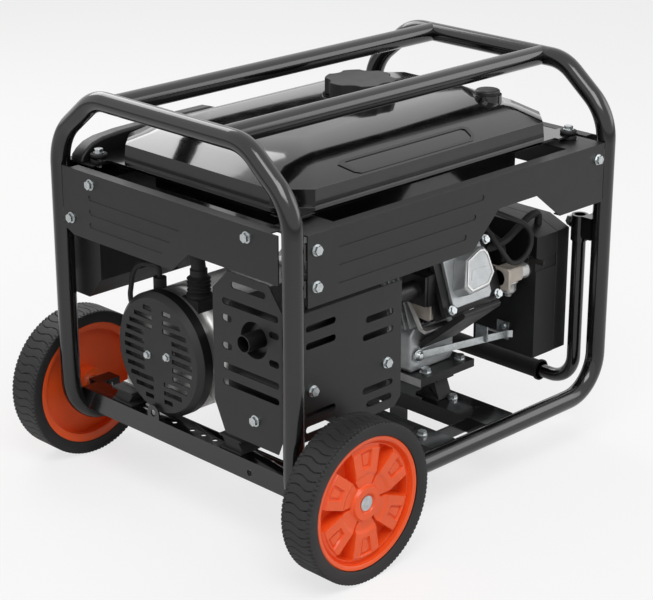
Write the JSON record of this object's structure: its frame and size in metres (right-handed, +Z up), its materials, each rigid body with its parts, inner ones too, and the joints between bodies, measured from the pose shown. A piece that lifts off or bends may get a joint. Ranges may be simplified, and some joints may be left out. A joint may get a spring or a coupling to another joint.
{
  "type": "portable generator",
  "caption": "Open-frame petrol generator on two wheels: tube frame, engine, alternator, tank, control panel, muffler guard and folding handle.",
  "frame": {"origin": "on the ground under the middle of the overall bounding box", "axes": "+X from the wheel end to the handle end, -Y is the engine side, +Y is the control panel side, +Z up"},
  "size_m": [0.7408, 0.6656, 0.6287],
  "materials": {
    "frame_paint": "gloss black paint over welded steel tube",
    "panel_paint": "satin black powder coat on pressed steel",
    "guard_paint": "heat resistant black",
    "tank_paint": "high gloss black",
    "black_plastic": "moulded black",
    "tyre_rubber": "solid ribbed rubber",
    "rim_plastic": "orange moulded wheel centre",
    "soft_rubber": "matt black rubber",
    "zinc": "zinc plated",
    "cast_aluminium": "cast",
    "steel": "machined",
    "filter_foam": "open foam",
    "plug_ceramic": "plated shell",
    "brass_fittings": "cast"
  },
  "bodies": {
    "frame": {"hoop_alternator_end": "frame_paint", "hoop_recoil_end": "frame_paint", "long_rails": "frame_paint", "end_beam": "frame_paint", "cross_members": "frame_paint", "support_leg": "frame_paint", "leg_feet": "soft_rubber", "axle_pins": "zinc", "axle_clips": "zinc", "panel_engine_side": "panel_paint", "panel_alternator_end": "panel_paint", "panel_recoil_end": "panel_paint", "control_panel": "panel_paint", "control_box": "black_plastic", "outlets": "black_plastic", "switch_bezels": "black_plastic", "engine_mounts": "soft_rubber", "crankcase": "cast_aluminium", "cylinder_head": "cast_aluminium", "valve_cover": "cast_aluminium", "piston": "cast_aluminium", "connecting_rod": "steel", "blower_housing": "black_plastic", "recoil_housing": "black_plastic", "alternator_housing": "cast_aluminium", "stator": "steel", "alternator_cover": "black_plastic", "alternator_leads": "soft_rubber", "muffler": "guard_paint", "muffler_guard": "guard_paint", "fuel_tank": "tank_paint", "tank_bushings": "soft_rubber", "fuel_gauge": "black_plastic", "fuel_valve": "brass_fittings", "fuel_hose": "soft_rubber", "carburettor": "cast_aluminium", "air_box": "black_plastic", "air_box_cover": "black_plastic", "air_filter": "filter_foam", "air_box_stay": "zinc", "spark_plug": "plug_ceramic", "spark_plug_lead": "soft_rubber", "breather_hose": "soft_rubber", "flange_bolts": "zinc"},
    "wheel_engine_side": {"tyre_engine_side": "tyre_rubber", "rim_engine_side": "rim_plastic"},
    "wheel_panel_side": {"tyre_panel_side": "tyre_rubber", "rim_panel_side": "rim_plastic"},
    "handle": {"handle_tube": "frame_paint", "handle_grip": "soft_rubber"},
    "crank_train": {"crankshaft": "steel", "flywheel": "steel", "rotor": "steel"},
    "fuel_cap": {"fuel_cap": "black_plastic"},
    "fuel_valve_lever": {"fuel_valve_lever": "black_plastic"},
    "choke_lever": {"choke_lever": "black_plastic"},
    "engine_switch": {"engine_switch": "black_plastic"},
    "breaker_switch": {"breaker_switch": "black_plastic"},
    "recoil_grip": {"recoil_grip": "black_plastic"},
    "oil_dipstick": {"oil_dipstick": "black_plastic"}
  },
  "joints": [
    {"name": "wheel_engine_side_spin", "type": "hinge", "parent": "frame", "child": "wheel_engine_side", "pos_m": [-0.251, -0.3048, 0.118], "axis": [0, 1, 0], "continuous": true},
    {"name": "wheel_panel_side_spin", "type": "hinge", "parent": "frame", "child": "wheel_panel_side", "pos_m": [-0.251, 0.3048, 0.118], "axis": [0, 1, 0], "continuous": true},
    {"name": "handle_swing", "type": "hinge", "parent": "frame", "child": "handle", "pos_m": [0.354, 0, 0.358], "axis": [0, -1, 0], "range_deg": [0, 90]},
    {"name": "crank_spin", "type": "hinge", "parent": "frame", "child": "crank_train", "pos_m": [0.019, 0.065, 0.2373], "axis": [1, 0, 0], "continuous": true},
    {"name": "fuel_cap_turn", "type": "hinge", "parent": "frame", "child": "fuel_cap", "pos_m": [0.074, 0.008, 0.604], "axis": [0, 0, 1], "range_deg": [0, 90]},
    {"name": "fuel_valve_turn", "type": "hinge", "parent": "frame", "child": "fuel_valve_lever", "pos_m": [0.195, -0.1423, 0.434], "axis": [0, 1, 0], "range_deg": [0, 90]},
    {"name": "choke_turn", "type": "hinge", "parent": "frame", "child": "choke_lever", "pos_m": [0.257, -0.181, 0.315], "axis": [1, 0, 0], "range_deg": [0, 60]},
    {"name": "engine_switch_rock", "type": "hinge", "parent": "frame", "child": "engine_switch", "pos_m": [-0.109, 0.255, 0.44], "axis": [1, 0, 0], "range_deg": [0, 18]},
    {"name": "breaker_rock", "type": "hinge", "parent": "frame", "child": "breaker_switch", "pos_m": [-0.109, 0.255, 0.384], "axis": [1, 0, 0], "range_deg": [0, 18]},
    {"name": "recoil_pull", "type": "slide", "parent": "frame", "child": "recoil_grip", "axis": [0, 1, 0], "range_m": [0, 0.15]},
    {"name": "dipstick_draw", "type": "slide", "parent": "frame", "child": "oil_dipstick", "axis": [0, 0.6668, 0.7452], "range_m": [0, 0.09]}
  ]
}
